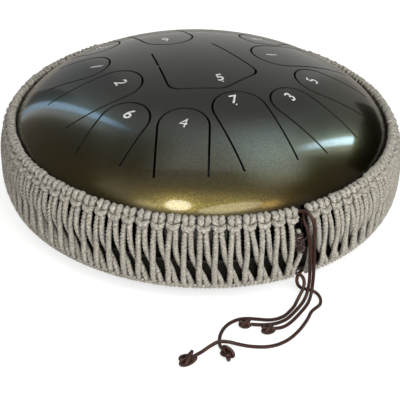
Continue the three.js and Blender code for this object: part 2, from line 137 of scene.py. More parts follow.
def addBump(nodes, links, shader, height, strength, depth):
    bump = nodes.new("ShaderNodeBump")
    bump.inputs["Strength"].default_value = strength
    bump.inputs["Distance"].default_value = depth * mm
    links.new(height, bump.inputs["Height"])
    links.new(bump.outputs["Normal"], shader.inputs["Normal"])


def tinted(nodes, links, colour, tint):
    mix = nodes.new("ShaderNodeMix")
    mix.data_type = "RGBA"
    mix.blend_type = "MULTIPLY"
    mix.inputs["Factor"].default_value = 1
    links.new(colour, mix.inputs["A"])
    links.new(tint, mix.inputs["B"])
    return mix.outputs["Result"]


def combined(nodes, links, operation, first, second):
    node = nodes.new("ShaderNodeMath")
    node.operation = operation
    links.new(first, node.inputs[0])
    links.new(second, node.inputs[1])
    return node.outputs["Value"]


def mapped(nodes, links, source, start, stop, low=0.0, high=1.0):
    node = nodes.new("ShaderNodeMapRange")
    node.inputs["From Min"].default_value = start
    node.inputs["From Max"].default_value = stop
    node.inputs["To Min"].default_value = low
    node.inputs["To Max"].default_value = high
    links.new(source, node.inputs["Value"])
    return node


lacquerLook = {
    "reach": 165,  # the colour runs from the middle to this radius, mm
    "stops": [
        (0.0, (0.012, 0.012, 0.010)),
        (0.48, (0.018, 0.018, 0.015)),
        (0.63, (0.050, 0.058, 0.045)),
        (0.73, (0.062, 0.064, 0.042)),
        (0.80, (0.062, 0.055, 0.028)),
        (0.875, (0.078, 0.062, 0.019)),
        (0.925, (0.078, 0.062, 0.019)),
        # painted shade: from here out the lacquer turns near black, for the shade along the cover's
        # edge and on the wall under the cover
        (0.95, (0.016, 0.013, 0.009)),
        (1.0, (0.012, 0.010, 0.008)),
    ],
    "roughness": 0.24,
    "coat": 0.8,
    "coatRoughness": 0.07,
    "flake": 900,
    "flakeDetail": 1.0,
    "sparkle": [(0.35, (0.72, 0.72, 0.72)), (0.7, (1.35, 1.35, 1.35))],
    "flakeBump": 0.25,
    "flakeDepth": 0.1,
}


def makeLacquer(look):
    material, nodes, links, shader = newMaterial("domeLacquer")
    coordinates = nodes.new("ShaderNodeTexCoord")
    flat = nodes.new("ShaderNodeVectorMath")
    flat.operation = "MULTIPLY"
    flat.inputs[1].default_value = (1 / (look["reach"] * mm), 1 / (look["reach"] * mm), 0)
    radius = nodes.new("ShaderNodeVectorMath")
    radius.operation = "LENGTH"
    links.new(coordinates.outputs["Object"], flat.inputs[0])
    links.new(flat.outputs["Vector"], radius.inputs[0])
    # colour by radius; its outer end is painted shade where the cover meets the dome
    colour = colourRamp(nodes, links, radius.outputs["Value"], look["stops"])
    flakes = objectNoise(nodes, links, look["flake"], look["flakeDetail"])
    sparkle = colourRamp(nodes, links, flakes, look["sparkle"])
    links.new(tinted(nodes, links, colour, sparkle), shader.inputs["Base Color"])
    shader.inputs["Metallic"].default_value = 1
    shader.inputs["Roughness"].default_value = look["roughness"]
    shader.inputs["Coat Weight"].default_value = look["coat"]
    shader.inputs["Coat Roughness"].default_value = look["coatRoughness"]
    addBump(nodes, links, shader, flakes, look["flakeBump"], look["flakeDepth"])
    return material


# Grainy finishes: a noise of this grain goes from dark to light over its span, and gives the bump
plainFinish = {
    "metallic": 0.0, "coat": 0.0, "sheen": 0.0, "bump": 0.2, "depth": 0.2, "detail": 3.0,
    "span": (0.32, 0.68),
}
finishLooks = {
    # painted shade: the cut walls of the slots are painted near black for the shade inside the narrow
    # slots
    "slotShadeWall": {
        "dark": (0.006, 0.005, 0.004), "light": (0.012, 0.01, 0.008), "grain": 900,
        "roughness": 0.6, "metallic": 0.3,
    },
    "panLacquer": {
        "dark": (0.012, 0.011, 0.009), "light": (0.022, 0.02, 0.016), "grain": 1500,
        "roughness": 0.5, "metallic": 0.8, "coat": 0.1,
    },
    "weldSteel": {
        "dark": (0.05, 0.047, 0.042), "light": (0.1, 0.095, 0.085), "grain": 1200,
        "roughness": 0.45, "metallic": 0.9,
    },
    "footRubber": {
        "dark": (0.008, 0.008, 0.008), "light": (0.016, 0.016, 0.016), "grain": 1800,
        "roughness": 0.75,
    },
    "cottonYarn": {
        "dark": (0.225, 0.211, 0.184), "light": (0.60, 0.57, 0.50), "grain": 800,
        "roughness": 0.95, "sheen": 0.15, "bump": 0.7, "depth": 0.4, "detail": 6.0,
    },
    "satinCord": {
        "dark": (0.012, 0.004, 0.003), "light": (0.060, 0.017, 0.010), "grain": 900,
        "roughness": 0.34, "bump": 0.7, "depth": 0.4,
    },
    # painted shade: the wrap's cord is painted much darker than the satin cord for the shade it lies
    # in, with pale specks where the noise runs high
    "shadedWrapCord": {
        "dark": (0.010, 0.004, 0.004), "light": (0.32, 0.23, 0.21), "grain": 800,
        "roughness": 0.45, "bump": 0.5, "depth": 0.3, "detail": 0.0, "span": (0.56, 0.72),
    },
    "numberVinyl": {
        "dark": (0.74, 0.74, 0.72), "light": (0.88, 0.88, 0.86), "grain": 600,
        "roughness": 0.5, "bump": 0.1,
    },
}
creaseShadeLook = {
    "reach": 3.5,  # painted shade darkens the cotton where the cords touch, within this many mm
    "samples": 8,
    "shades": [(0.3, (0.28, 0.26, 0.24)), (0.8, (1, 1, 1))],
}


def makeFinish(name, chosen):
    look = {**plainFinish, **chosen}
    material, nodes, links, shader = newMaterial(name)
    noise = objectNoise(nodes, links, look["grain"], look["detail"])
    start, stop = look["span"]
    colour = colourRamp(nodes, links, noise, [(start, look["dark"]), (stop, look["light"])])
    links.new(colour, shader.inputs["Base Color"])
    shader.inputs["Roughness"].default_value = look["roughness"]
    shader.inputs["Metallic"].default_value = look["metallic"]
    shader.inputs["Coat Weight"].default_value = look["coat"]
    shader.inputs["Sheen Weight"].default_value = look["sheen"]
    addBump(nodes, links, shader, noise, look["bump"], look["depth"])
    return material


# Painted shade: ambient occlusion darkens the cotton's colour in the creases between the cords
def paintCreaseShade(material, look):
    nodes, links = material.node_tree.nodes, material.node_tree.links
    colour = nodes["Principled BSDF"].inputs["Base Color"]
    plain = colour.links[0].from_socket
    hollow = nodes.new("ShaderNodeAmbientOcclusion")
    hollow.samples = look["samples"]
    hollow.inputs["Distance"].default_value = look["reach"] * mm
    shade = colourRamp(nodes, links, hollow.outputs["AO"], look["shades"])
    links.new(tinted(nodes, links, plain, shade), colour)


domeLacquer = makeLacquer(lacquerLook)
finishes = {name: makeFinish(name, look) for name, look in finishLooks.items()}
paintCreaseShade(finishes["cottonYarn"], creaseShadeLook)
print("materials made")

# The bare drum that everything follows
drumSizes = {
    "radius": 165,
    "sheet": 2,
    "footHeight": 6,
    "panCorner": 20,
    "cornerTop": 26,
    "seam": 38,
    "domeBase": 49,
    "domeRise": 68,
    "soundHole": 30,
    "seamEdge": 1.5,  # how far the shells stop short of the seam, outside and inside
    "seamGap": 0.15,
}


def wallPoint(height, out):
    radius, base, rise = drumSizes["radius"], drumSizes["domeBase"], drumSizes["domeRise"]
    corner, cornerTop = drumSizes["panCorner"], drumSizes["cornerTop"]
    wall, normal = radius, Vector((1, 0))
    if height > base:
        up = (height - base) / rise
        wall = radius * math.sqrt(1 - up * up)
        normal = Vector((wall / radius ** 2, up / rise)).normalized()
    elif height < cornerTop:
        down = cornerTop - height
        reach = math.sqrt(corner ** 2 - down ** 2)
        wall = radius - corner + reach
        normal = Vector((reach, -down)).normalized()
    return wall + out * normal.x, height + out * normal.y


def aroundAxis(radius, height, angle):
    return Vector((radius * math.cos(angle), radius * math.sin(angle), height)) * mm


# Cords: the four free tails of the drawstrings, with the routes of their solids
cordSizes = {"diameter": 2.6, "lay": "loose", "stiffness": "limp", "bevel": 5, "stepsEach": 4}
tailRoutes = {
    "top_tail_right": [
        (66.5, -145.3, 69.2), (69.1, -144.3, 69.5), (72.3, -144.1, 70.3), (75.3, -145.3, 71),
        (77.6, -147.3, 71.2), (79.6, -149.6, 70.2), (81.1, -151.4, 68), (82.1, -152.5, 64.9),
        (82.8, -152.9, 61), (83.1, -153, 57.4), (83.3, -152.8, 54), (84.4, -152.2, 45),
        (85.2, -152, 36), (86, -152.2, 27), (86.5, -152.8, 18), (86.5, -153.9, 10),
        (85.9, -156.4, 4.8), (84.6, -160.4, 2), (82.2, -166, 1.5), (77.4, -173.8, 1.5),
        (70.5, -183.5, 1.5), (64.8, -189.4, 1.5), (60.5, -192.1, 1.9), (56.5, -194, 2.9),
    ],
    "top_tail_left": [
        (78.4, -139.2, 69.2), (77.1, -140.2, 68.7), (75.7, -141.8, 67.7), (75, -143.7, 66.6),
        (75.1, -146.6, 65.4), (76, -149.4, 63.3), (77.3, -150.9, 61.4), (78.5, -152.5, 57.8),
        (79.6, -153.6, 53.2), (80.5, -154.1, 48.2), (81.6, -154, 43), (82.5, -153.8, 34),
        (83.2, -154.1, 24), (83.6, -154.8, 15), (83.1, -156.4, 8), (81.8, -159, 3.6),
        (79.5, -163.2, 1.7), (76.3, -168.5, 1.5), (72.6, -174, 1.5), (66.3, -182, 1.5),
        (58.7, -187, 1.5), (50.7, -188.9, 1.5), (45, -189.6, 1.8), (40, -190.4, 2.8),
    ],
    "bottom_tail_left": [
        (68.9, -149.9, 17.3), (71.8, -149.1, 17.5), (75, -149.2, 17.3), (77.7, -150.5, 16.4),
        (79.5, -152.5, 14.9), (80, -155.1, 12.3), (79.1, -157.7, 9.4), (77.3, -160.3, 6.7),
        (75.1, -163.8, 4), (72.4, -168.4, 1.5), (68.8, -173.8, 1.5), (64.6, -178.9, 1.5),
        (58.6, -182.6, 1.5), (51.7, -183.9, 1.5), (44.3, -183.4, 1.5), (37.8, -183.1, 1.5),
        (32.2, -184, 1.5), (27.3, -186.6, 1.5), (23.4, -190, 1.5), (20.6, -194, 1.5),
        (18.5, -198.8, 1.5), (17.4, -203.8, 1.5), (17.3, -209.4, 1.5), (18.2, -213.4, 1.9),
        (19.8, -216.6, 3.2),
    ],
    "bottom_tail_right": [
        (80.8, -143.8, 17.3), (78.4, -145.3, 16.9), (76.3, -147.2, 15.3), (75.1, -149.3, 12.9),
        (75.2, -151.1, 10.1), (76.7, -152.3, 7.6), (79.2, -152.6, 5.9), (82.3, -152.3, 4.9),
        (85.6, -152.2, 4), (88.7, -152.9, 3.1), (91.1, -154.6, 2.2), (92.6, -157.6, 1.6),
        (92.8, -161.4, 1.5), (91.4, -166.1, 1.5), (85.2, -173, 1.5), (81.8, -180.4, 1.5),
        (77.9, -187.8, 1.5), (72.8, -195.5, 1.5), (67.2, -202, 1.5), (62.4, -206, 1.5),
        (56.6, -209.3, 1.5), (48.8, -211.3, 1.5), (38.6, -211.3, 1.6), (30, -210.6, 2.7),
        (23, -210.4, 4.4), (16.6, -211.5, 5.2), (11, -214.6, 4.1), (6, -218.4, 2.8),
        (2.6, -221.4, 2.8), (0.2, -223.9, 3.4),
    ],
}
knotSizes = {  # node, length along the cord, diameter
    "top_tail_right": ("knot_top_right", 10, 8.4),
    "top_tail_left": ("knot_top_left", 9, 8),
    "bottom_tail_left": ("knot_bottom_left", 11, 9.4),
    "bottom_tail_right": ("knot_bottom_right", 13, 10),
}
tieSizes = {  # shares of the knot's radius, gap to the cord's end, fineness
    "ring": 0.68, "swing": 0.32, "gap": 0.3, "steps": 96, "bevel": 4,
}


def alongPoints(points, steps):  # a smooth path through all the points
    rows = [Vector(p) for p in [points[0], *points, points[-1]]]
    spans = len(points) - 1
    path = []
    for i in range(steps + 1):
        place = min(i * spans / steps, spans - hair)
        k = int(place)
        t = place - k
        a, b, c, d = rows[k:k + 4]
        bend = (c - a) * t + (2 * a - 5 * b + 4 * c - d) * t * t + (3 * b - a - 3 * c + d) * t ** 3
        path.append(b + 0.5 * bend)
    return path


def newCurve(name, material):
    data = bpy.data.curves.new(name, "CURVE")
    data.dimensions = "3D"
    data.use_fill_caps = True
    data.materials.append(material)
    obj = bpy.data.objects.new(name, data)
    studio.collection.objects.link(obj)
    return obj


def addSpline(obj, points, radii=None, tilts=None):
    spline = obj.data.splines.new("POLY")
    spline.points.add(len(points) - 1)
    for i, point in enumerate(points):
        spline.points[i].co = (*point, 1)
        if radii:
            spline.points[i].radius = radii[i]
        if tilts:
            spline.points[i].tilt = tilts[i]
    return spline


# The cord runs twice round the ring of the knot while it swings in and out three times
def makeEndKnot(node, route, length, diameter):
    end, before = Vector(route[-1]), Vector(route[-2])
    along = end - before
    along.z = 0
    along.normalize()
    up = Vector((0, 0, 1))
    side = along.cross(up)
    centre = end + along * (length / 2 + tieSizes["gap"])
    centre.z = max(centre.z, diameter / 2 + tieSizes["gap"])
    cord = cordSizes["diameter"] / 2
    ring = (diameter / 2 - cord) * tieSizes["ring"]
    swing = (diameter / 2 - cord) * tieSizes["swing"]
    deep = length / 2 - cord
    loop = []
    for i in range(tieSizes["steps"]):
        t = 2 * math.pi * i / tieSizes["steps"]
        across = side * math.cos(2 * t) + up * math.sin(2 * t)
        reach = ring + swing * math.cos(3 * t)
        loop.append((centre + across * reach + along * deep * math.sin(3 * t)) * mm)
    knot = newCurve("tied_" + node, finishes["satinCord"])
    knot.data.bevel_depth = cord * mm
    knot.data.bevel_resolution = tieSizes["bevel"]
    addSpline(knot, loop).use_cyclic_u = True
    activate(knot)
    bpy.ops.object.convert(target="MESH")
    settle(knot, "drum", "satin_cord", node)
    return knot


for tail, route in tailRoutes.items():
    knotName, knotLength, knotDiameter = knotSizes[tail]
    cord = newCurve("cord_" + tail, finishes["satinCord"])
    cord.data.bevel_depth = cordSizes["diameter"] / 2 * mm
    cord.data.bevel_resolution = cordSizes["bevel"]
    path = alongPoints(route, cordSizes["stepsEach"] * len(route))
    addSpline(cord, [p * mm for p in path])
    settle(cord, "drum", "satin_cord", tail)
    knot = makeEndKnot(knotName, route, knotLength, knotDiameter)
print("cords laid")


# Steel shells, spun from their sections
spinSteps = {
    "dome": 224, "pan": 160, "foot": 40,  # round the axis
    "domeArc": 72, "liningArc": 40, "cornerArc": 16, "innerCornerArc": 12,  # along the section
    "smooth": 35,  # faces that meet at less than this angle are shaded as one
    "merge": 0.001,
}


def loopMesh(name, points, fill="NOTHING"):
    deselect()
    bpy.ops.mesh.primitive_circle_add(vertices=len(points), fill_type=fill)
    obj = bpy.context.object
    obj.name = name
    for vertex, point in zip(obj.data.vertices, points):
        vertex.co = Vector(point) * mm
    return obj


def openLoop(obj):
    last = len(obj.data.vertices) - 1
    bpy.ops.mesh.select_mode(type="EDGE")
    bpy.ops.mesh.select_all(action="DESELECT")
    bpy.ops.object.mode_set(mode="OBJECT")
    for edge in obj.data.edges:
        edge.select = set(edge.vertices) == {0, last}
    bpy.ops.object.mode_set(mode="EDIT")
    bpy.ops.mesh.delete(type="EDGE")


def spun(name, outline, steps, material, closed=True):
    obj = loopMesh(name, [(r, 0, z) for r, z in outline])
    bpy.ops.object.mode_set(mode="EDIT")
    if not closed:
        openLoop(obj)
    bpy.ops.mesh.select_all(action="SELECT")
    bpy.ops.mesh.spin(steps=steps, angle=2 * math.pi, center=(0, 0, 0), axis=(0, 0, 1))
    bpy.ops.mesh.select_all(action="SELECT")
    bpy.ops.mesh.remove_doubles(threshold=spinSteps["merge"] * mm)
    bpy.ops.mesh.normals_make_consistent(inside=False)
    bpy.ops.object.mode_set(mode="OBJECT")
    activate(obj)
    bpy.ops.object.shade_smooth_by_angle(angle=math.radians(spinSteps["smooth"]))
    obj.data.materials.append(material)
    return obj


def arc(radiusX, radiusZ, centreX, centreZ, start, stop, steps):
    points = []
    for i in range(steps + 1):
        angle = math.radians(start + (stop - start) * i / steps)
        points.append((centreX + radiusX * math.sin(angle), centreZ + radiusZ * math.cos(angle)))
    return points


def copyOf(obj, name):
    activate(obj)
    bpy.ops.object.duplicate()
    twin = bpy.context.object
    twin.name = name
    return twin


def cut(obj, tool, operation):
    activate(obj)
    boolean = obj.modifiers.new("cut", "BOOLEAN")
    boolean.operation = operation
    boolean.solver = "EXACT"
    boolean.material_mode = "TRANSFER"
    boolean.object = tool
    bpy.ops.object.modifier_apply(modifier=boolean.name)


def borrowNormals(obj, smooth):
    activate(obj)
    bpy.ops.object.shade_smooth()
    transfer = obj.modifiers.new("normals", "DATA_TRANSFER")
    transfer.object = smooth
    transfer.use_loop_data = True
    transfer.data_types_loops = {"CUSTOM_NORMAL"}
    transfer.loop_mapping = "POLYINTERP_NEAREST"
    bpy.ops.object.modifier_apply(modifier=transfer.name)


def makeBlank(size, steps):
    radius, rise, sheet = size["radius"], size["domeRise"], size["sheet"]
    inner, innerRise, base = radius - sheet, rise - sheet, size["domeBase"]
    outline = arc(radius, rise, 0, base, 0, 90, steps["domeArc"])
    outline += [(radius, size["seam"] + size["seamEdge"]), (inner, size["seam"] + size["seamGap"])]
    outline += arc(inner, innerRise, 0, base, 90, 0, steps["liningArc"])
    return spun("shellBlank", outline, steps["dome"], domeLacquer, closed=False)


tongueSizes = {
    "slot": 1.7, "rootGap": 0.03, "middleField": 48, "room": 84, "tipSteps": 28, "cornerSteps": 10,
    "cutFrom": 10, "cutOver": 4,  # the cut starts over the dome's base and ends over its top
}
outerTongues = {  # heading, left of it, tip out of the middle field, width, root beyond its circle
    "tongue_low_6": (114.5, 4, 2, 43.5, 0),
    "tongue_low_7": (-66, 0, 3.5, 42, -4),
    "tongue_1": (29, -1, 2, 44, 0),
    "tongue_2": (-152.5, -5, 7.5, 42, -5),
    "tongue_3": (-41.5, 13, 19, 38, 1.5),
    "tongue_4": (-90, -13.5, 22, 37.5, 0.5),
    "tongue_5": (-9.5, 12, 28, 41, 5.5),
    "tongue_6": (-118.5, -14.5, 30, 38.5, 2),
    "tongue_7": (59, -3, 28.5, 38, 0),
    "tongue_high_1": (176.5, -4.5, 32.5, 41, -4),
    "tongue_high_2": (145, 2, 49, 37, 0),
    "tongue_high_3": (87, 0, 52, 36, 0),
}
middleTongue = {
    "heading": -64, "aside": -3, "root": -37, "rootWidth": 55, "shoulder": 28.5,
    "shoulderWidth": 78, "point": 44, "shoulderRound": 9, "pointRound": 6,
}


def headed(points, heading):
    turn = Matrix.Rotation(math.radians(heading), 2)
    return [turn @ Vector(p) for p in points]


def outerOutline(name, grow):
    heading, aside, retreat, width, beyond = outerTongues[name]
    half = width / 2 + grow
    bend = tongueSizes["middleField"] + retreat + width / 2
    root = tongueSizes["middleField"] + tongueSizes["room"] + beyond
    root += tongueSizes["rootGap"] if grow else 0
    points = [(root, aside - half)]
    for i in range(tongueSizes["tipSteps"] + 1):
        turn = -math.pi / 2 - math.pi * i / tongueSizes["tipSteps"]
        points.append((bend + half * math.cos(turn), aside + half * math.sin(turn)))
    points.append((root, aside + half))
    return headed(points, heading)


def outset(points, distances):
    lines = []
    for i, p in enumerate(points):
        along = (points[(i + 1) % len(points)] - p).normalized()
        lines.append((p + Vector((along.y, -along.x)) * distances[i], along))
    moved = []
    for i, (at, along) in enumerate(lines):
        atBefore, alongBefore = lines[i - 1]
        reach = (at - atBefore).cross(along) / alongBefore.cross(along)
        moved.append(atBefore + alongBefore * reach)
    return moved


def middleOutline(grow):
    tongue = middleTongue
    sides = [
        (tongue["root"], -tongue["rootWidth"] / 2), (tongue["shoulder"], -tongue["shoulderWidth"] / 2),
        (tongue["point"], 0), (tongue["shoulder"], tongue["shoulderWidth"] / 2),
        (tongue["root"], tongue["rootWidth"] / 2),
    ]
    corners = [Vector((along, across + tongue["aside"])) for along, across in sides]
    rootGrow = tongueSizes["rootGap"] if grow else 0
    corners = outset(corners, [grow, grow, grow, grow, rootGrow])
    rounds = [0, tongue["shoulderRound"], tongue["pointRound"], tongue["shoulderRound"], 0]
    points = []
    for i, corner in enumerate(corners):
        before, after = corners[i - 1], corners[(i + 1) % len(corners)]
        start = corner + (before - corner).normalized() * rounds[i]
        end = corner + (after - corner).normalized() * rounds[i]
        steps = tongueSizes["cornerSteps"] if rounds[i] else 0
        for k in range(steps + 1):
            t = k / steps if steps else 0
            points.append(start * (1 - t) ** 2 + corner * 2 * t * (1 - t) + end * t * t)
    return headed(points, tongue["heading"])


def prism(name, outline):
    low = drumSizes["domeBase"] + tongueSizes["cutFrom"]
    high = drumSizes["domeBase"] + drumSizes["domeRise"] + tongueSizes["cutOver"]
    obj = loopMesh(name, [(x, y, low) for x, y in outline], "NGON")
    bpy.ops.object.mode_set(mode="EDIT")
    bpy.ops.mesh.select_all(action="SELECT")
    bpy.ops.mesh.extrude_region_move(TRANSFORM_OT_translate={"value": (0, 0, (high - low) * mm)})
    bpy.ops.mesh.select_all(action="SELECT")
    bpy.ops.mesh.normals_make_consistent(inside=False)
    bpy.ops.object.mode_set(mode="OBJECT")
    # the slot walls take this near-black painted shade
    obj.data.materials.append(finishes["slotShadeWall"])
    return obj


def outlineOf(name, grow):
    return middleOutline(grow) if name == "tongue_low_5" else outerOutline(name, grow)


blank = makeBlank(drumSizes, spinSteps)
topShell = copyOf(blank, "dome_shell")
for tongueName in ["tongue_low_5", *outerTongues]:
    window = prism("window", outlineOf(tongueName, tongueSizes["slot"]))
    cut(topShell, window, "DIFFERENCE")
    drop(window)
    blade = copyOf(blank, "blade_" + tongueName)
    stamp = prism("stamp", outlineOf(tongueName, 0))
    cut(blade, stamp, "INTERSECT")
    drop(stamp)
    borrowNormals(blade, blank)
    settle(blade, tongueName + "_blade", "dome_lacquer", tongueName)
borrowNormals(topShell, blank)
settle(topShell, "drum", "dome_lacquer", "top_shell")
drop(blank)
print("dome and tongues cut")


def makeBottom(size, steps):
    radius, sheet, foot, seam = size["radius"], size["sheet"], size["footHeight"], size["seam"]
    corner, top = size["panCorner"], size["cornerTop"]
    inner = corner - sheet
    outline = [(size["soundHole"], foot)]
    outline += arc(corner, corner, radius - corner, top, 180, 90, steps["cornerArc"])
    outline += [(radius, seam - size["seamEdge"]), (radius - sheet, seam - size["seamGap"])]
    outline += arc(inner, inner, radius - corner, top, 90, 180, steps["innerCornerArc"])
    outline.append((size["soundHole"], foot + sheet))
    return spun("pan_shell", outline, steps["pan"], finishes["panLacquer"])


footSizes = {
    "circle": 105, "radius": 11, "hole": 4.5, "neck": 4, "barb": 2.2, "barbHeight": 4, "play": 0.3,
    "sole": [(1.2, 0), (0.3, 0.3), (0, 1.1)],  # in from the radius, and up from the floor
    "shoulder": [(0.7, 1), (1.4, 0.3)],  # in from the radius, and down from the pan
    "drill": 20, "drillSides": 32,
}
footBearings = {
    "foot_front_left": -135, "foot_front_right": -45, "foot_back_right": 45, "foot_back_left": 135,
}
weldSizes = {"half": 1, "crown": 0.02, "depth": 1.6, "root": 0.07}


def makeFoot(size):
    radius, level = size["radius"], drumSizes["footHeight"]
    barb = level + drumSizes["sheet"] + size["play"]
    tip = barb + size["barbHeight"]
    outline = [(0, 0)]
    outline += [(radius - inset, up) for inset, up in size["sole"]]
    outline += [(radius - inset, level - down) for inset, down in size["shoulder"]]
    outline += [(size["neck"], level - size["play"]), (size["neck"], barb)]
    outline += [(size["hole"] + size["barb"], barb), (size["neck"] / 2, tip), (0, tip)]
    return spun("footBlank", outline, spinSteps["foot"], finishes["footRubber"], closed=False)


def makeWeld(size):
    radius, seam = drumSizes["radius"], drumSizes["seam"]
    outline = [(radius, seam - size["half"]), (radius + size["crown"], seam)]
    outline += [(radius, seam + size["half"])]
    outline += [(radius - size["depth"], seam + root) for root in (size["root"], -size["root"])]
    return spun("weld_ring", outline, spinSteps["pan"], finishes["weldSteel"])


bottomShell = makeBottom(drumSizes, spinSteps)
foot = makeFoot(footSizes)
for footName, bearing in footBearings.items():
    spot = aroundAxis(footSizes["circle"], 0, math.radians(bearing))
    deselect()
    bpy.ops.mesh.primitive_cylinder_add(
        vertices=footSizes["drillSides"], radius=footSizes["hole"] * mm,
        depth=footSizes["drill"] * mm, location=spot)
    drill = bpy.context.object
    drill.data.materials.append(finishes["panLacquer"])
    cut(bottomShell, drill, "DIFFERENCE")
    drop(drill)
    pushed = copyOf(foot, "rubber_" + footName)
    pushed.location = spot
    bpy.ops.object.transform_apply(location=True)
    settle(pushed, "drum", "foot_rubber", footName)
drop(foot)
activate(bottomShell)
bpy.ops.object.shade_smooth_by_angle(angle=math.radians(spinSteps["smooth"]))
settle(bottomShell, "drum", "pan_lacquer", "bottom_shell")
settle(makeWeld(weldSizes), "drum", "weld_steel", "seam_weld")
print("pan, feet and weld made")

# Note numbers: thin vinyl digits that lie on the dome, tops towards the middle
numberSizes = {
    "height": 10.2, "capShare": 0.73,  # height of a digit, and its share of the type size
    "bold": 0.14, "boldFour": -0.14,  # the 4 is drawn thinner, so that its window stays open
    "lean": 0.12, "thick": 0.05, "lift": 0.1, "dot": 0.65, "dotGap": 1.1, "dotSides": 20, "cuts": 3,
}
numberPlaces = {  # digit, place on the dome, dot under (-1), none (0) or over (1), way its top points
    "tongue_low_5": ("5", (13.1, -26.1), -1, (-0.44, 0.9)),
    "tongue_low_6": ("6", (-34.2, 57.2), -1, None),
    "tongue_low_7": ("7", (23.9, -56.2), -1, None),
    "tongue_1": ("1", (59.2, 31.2), 0, None),
    "tongue_2": ("2", (-66.7, -28.6), 0, None),
    "tongue_3": ("3", (69.5, -41.5), 0, None),
    "tongue_4": ("4", (-14, -86.2), 0, None),
    "tongue_5": ("5", (90.9, -5.8), 0, None),
    "tongue_6": ("6", (-56.2, -72.8), 0, None),
    "tongue_7": ("7", (49.3, 76.7), 0, None),
    "tongue_high_1": ("1", (-91.1, 8.9), 1, None),
    "tongue_high_2": ("2", (-92.6, 61.9), 1, None),
    "tongue_high_3": ("3", (5, 112), 1, None),
}


def domeHeight(x, y):
    share = (x * x + y * y) / drumSizes["radius"] ** 2
    return drumSizes["domeBase"] + drumSizes["domeRise"] * math.sqrt(1 - share)


def makeNumber(tongueName, digit, place, dot, top):
    deselect()
    bpy.ops.object.text_add()
    number = bpy.context.object
    number.name = "number_" + tongueName
    number.data.body = digit
    number.data.size = numberSizes["height"] / numberSizes["capShare"] * mm
    number.data.shear = numberSizes["lean"]
    number.data.offset = numberSizes["boldFour" if digit == "4" else "bold"] * mm
    number.data.extrude = numberSizes["thick"] * mm
    number.data.align_x = "CENTER"
    number.data.align_y = "CENTER"
    bpy.ops.object.convert(target="MESH")
    if dot:
        spot = (0, dot * (numberSizes["height"] / 2 + numberSizes["dotGap"]) * mm, 0)
        bpy.ops.mesh.primitive_cylinder_add(
            vertices=numberSizes["dotSides"], radius=numberSizes["dot"] * mm,
            depth=2 * numberSizes["thick"] * mm, location=spot)
        number.select_set(True)
        bpy.context.view_layer.objects.active = number
        bpy.ops.object.join()
    bpy.ops.object.mode_set(mode="EDIT")
    bpy.ops.mesh.select_all(action="SELECT")
    bpy.ops.mesh.quads_convert_to_tris()
    bpy.ops.mesh.subdivide(number_cuts=numberSizes["cuts"])
    bpy.ops.object.mode_set(mode="OBJECT")
    upward = Vector(top or (-place[0], -place[1])).normalized()
    across = Vector((upward.y, -upward.x))
    for vertex in number.data.vertices:
        spot = Vector(place) + (across * vertex.co.x + upward * vertex.co.y) / mm
        lift = numberSizes["lift"] + vertex.co.z / mm
        vertex.co = Vector((spot.x, spot.y, domeHeight(*spot) + lift)) * mm
    number.data.materials.clear()
    number.data.materials.append(finishes["numberVinyl"])
    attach(number, tongueName + "_blade")


for tongueName, facts in numberPlaces.items():
    makeNumber(tongueName, *facts)
print("numbers laid")

# Knotted cotton cover: rope of twisted plies, laid out in knots round the rim
coverSizes = {
    "knots": 95,
    "seamAt": -63,  # degrees round the axis
    "seamSpan": 6.3,
    "plies": 3,
    "plyDepth": 0.15,
    "plySides": 12,
    "turn": 8.4,  # length of one full turn of the plies
    "strand": 2.0,
    "snug": 1.14,  # right of the seam the strands lie close together
    "snugColumns": range(3, 19),
    "firstAside": -0.16,  # the first strand closes up to the seam
    "hump": 2.55,
    "bar": 2.2,
    "loose": 0.08,  # how far a strand may stray sideways, in pitches
    "looseMeet": 0.112,
    "uneven": 0.3,  # how much the knots differ in height, in share of thickness and in pitches sideways
    "plump": 0.08,
    "skew": 0.05,
    "startTurn": 3,  # the twist of a rope starts anywhere
    "uprightSteps": 76, "crossingSteps": 84, "humpSteps": 24, "barSteps": 26,
}
braidSizes = {
    "cords": 3,
    "plies": 2,
    "plyDepth": 0.22,
    "plySides": 8,
    "radius": 1.05,
    "tall": 1.35,  # how far its cords swing up and down, and in and out
    "deep": 0.85,
    "span": 9.4,
    "height": 19.8,
    "out": 4.2,
    "past": 0.35,  # how far it runs past the first and the last knot, in pitches
    "steps": 14,
    "twist": 0.45,
}


def makeSection(size):
    section = newCurve("section", finishes["cottonYarn"])
    section.data.dimensions = "2D"
    points = []
    for i in range(size["plySides"]):
        angle = 2 * math.pi * i / size["plySides"]
        reach = (1 + size["plyDepth"] * math.cos(size["plies"] * angle)) * mm
        points.append((reach * math.cos(angle), reach * math.sin(angle), 0))
    addSpline(section, points).use_cyclic_u = True
    return section


ropeSection = makeSection(coverSizes)
braidSection = makeSection(braidSizes)


def coverPoint(column, height, out):
    pitch = (360 - coverSizes["seamSpan"]) / (coverSizes["knots"] - 1)
    radius, level = wallPoint(height, out)
    return aroundAxis(radius, level, math.radians(
        coverSizes["seamAt"] + coverSizes["seamSpan"] / 2 + column * pitch))


def addRope(obj, controls, steps, turn, start=0.0):
    rows = alongPoints(controls, steps)
    points = [coverPoint(*row[:3]) for row in rows]
    tilts, travelled = [start], 0.0
    for a, b in zip(points, points[1:]):
        travelled += (b - a).length / mm
        tilts.append(start + 2 * math.pi * travelled / turn)
    addSpline(obj, points, [row[3] for row in rows], tilts)


def startRope(name, section):
    rope = newCurve(name, finishes["cottonYarn"])
    rope.data.bevel_mode = "OBJECT"
    rope.data.bevel_object = section
    rope.data.twist_mode = "MINIMUM"
    return rope


def finishRope(rope, *nodes):
    activate(rope)
    bpy.ops.object.convert(target="MESH")
    bpy.ops.object.mode_set(mode="EDIT")
    bpy.ops.mesh.select_all(action="SELECT")
    bpy.ops.mesh.normals_make_consistent(inside=False)
    bpy.ops.object.mode_set(mode="OBJECT")
    bpy.ops.object.shade_smooth()
    settle(rope, "drum", "cotton_cord", *nodes)


def wander(amount):
    return random.uniform(-amount, amount)


